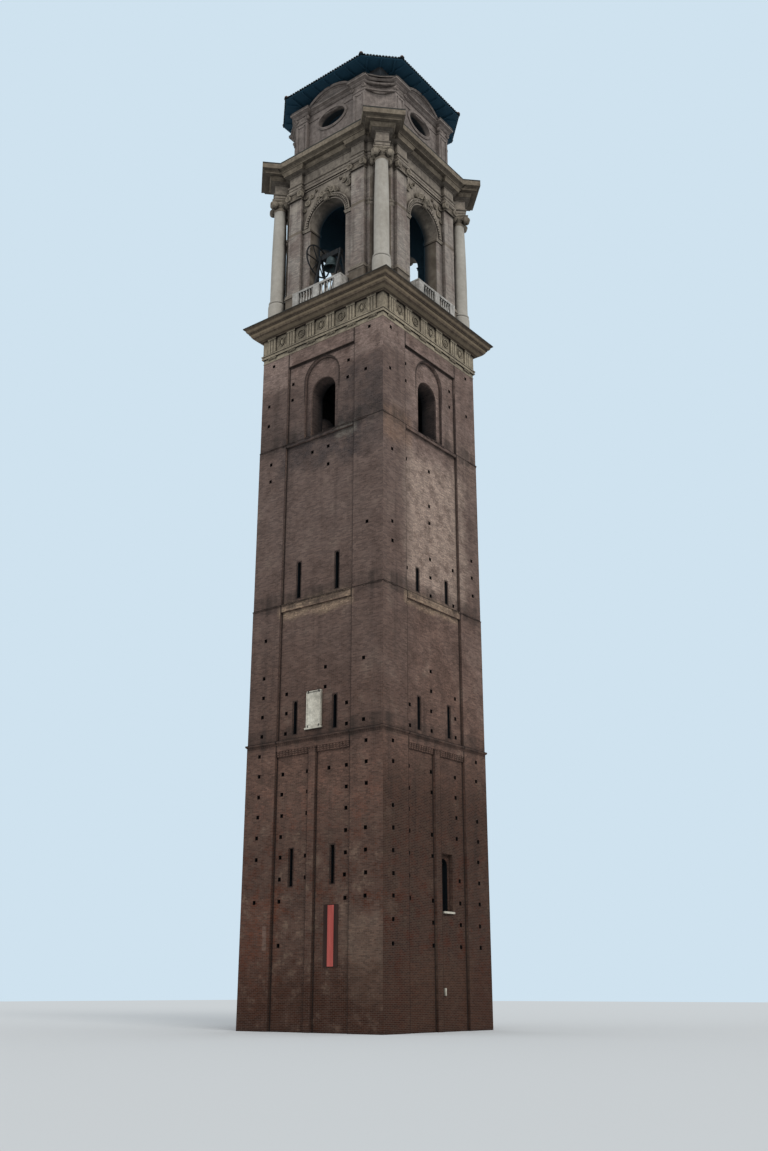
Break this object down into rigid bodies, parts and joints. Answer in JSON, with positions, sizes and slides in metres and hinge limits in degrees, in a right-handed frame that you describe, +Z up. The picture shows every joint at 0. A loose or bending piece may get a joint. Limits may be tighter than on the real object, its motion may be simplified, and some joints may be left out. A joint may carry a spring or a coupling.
{
  "type": "bell tower, scale model at 1:2",
  "caption": "Tall square brick bell tower with an open arched belfry, corner columns, an attic with oval windows and a low octagonal roof; half-size model.",
  "frame": {"origin": "middle of the base, at ground level", "axes": "+Z up, -Y the front with the plaque, +X the right side with the rectangular window"},
  "size_m": [6.0228, 6.0228, 30.03],
  "materials": {
    "brick_lower": "matte",
    "brick_upper": "matte",
    "stucco": "matte",
    "column_stone": "matte",
    "marble": "satin",
    "floor": "matte",
    "roof": "matte",
    "bronze": "satin",
    "iron": "matte",
    "old_wood": "matte",
    "banner_cloth": "matte"
  },
  "bodies": {
    "tower": {"attic_cornice": "stucco", "attic_floor": "floor", "attic_piers": "brick_upper", "attic_walls": "brick_upper", "back_wall_1": "brick_lower", "back_wall_2": "brick_lower", "back_wall_3": "brick_upper", "back_wall_4": "brick_upper", "balustrades": "marble", "banner": "banner_cloth", "belfry_arches": "stucco", "belfry_cornice": "stucco", "belfry_entablature": "stucco", "belfry_floor": "floor", "belfry_piers": "brick_upper", "bell_frame": "iron", "corner_columns": "column_stone", "doric_frieze": "stucco", "floor_2": "floor", "floor_3": "floor", "floor_4": "floor", "front_wall_1": "brick_lower", "front_wall_2": "brick_lower", "front_wall_3": "brick_upper", "front_wall_4": "brick_upper", "ground_floor": "floor", "left_wall_1": "brick_lower", "left_wall_2": "brick_lower", "left_wall_3": "brick_upper", "left_wall_4": "brick_upper", "main_cornice": "stucco", "marble_plaque": "marble", "pediments": "brick_upper", "right_wall_1": "brick_lower", "right_wall_2": "brick_lower", "right_wall_3": "brick_upper", "right_wall_4": "brick_upper", "roof": "roof", "string_course": "stucco", "upper_attic": "brick_upper", "window_sill": "marble"},
    "bell": {"bell": "bronze", "bell_clapper": "iron", "bell_headstock": "old_wood", "bell_wheel": "iron"}
  },
  "joints": [
    {"name": "bell_swing", "type": "hinge", "parent": "tower", "child": "bell", "pos_m": [-0.08, -1.85, 22.535], "axis": [1, 0, 0], "range_deg": [-80, 80]}
  ]
}
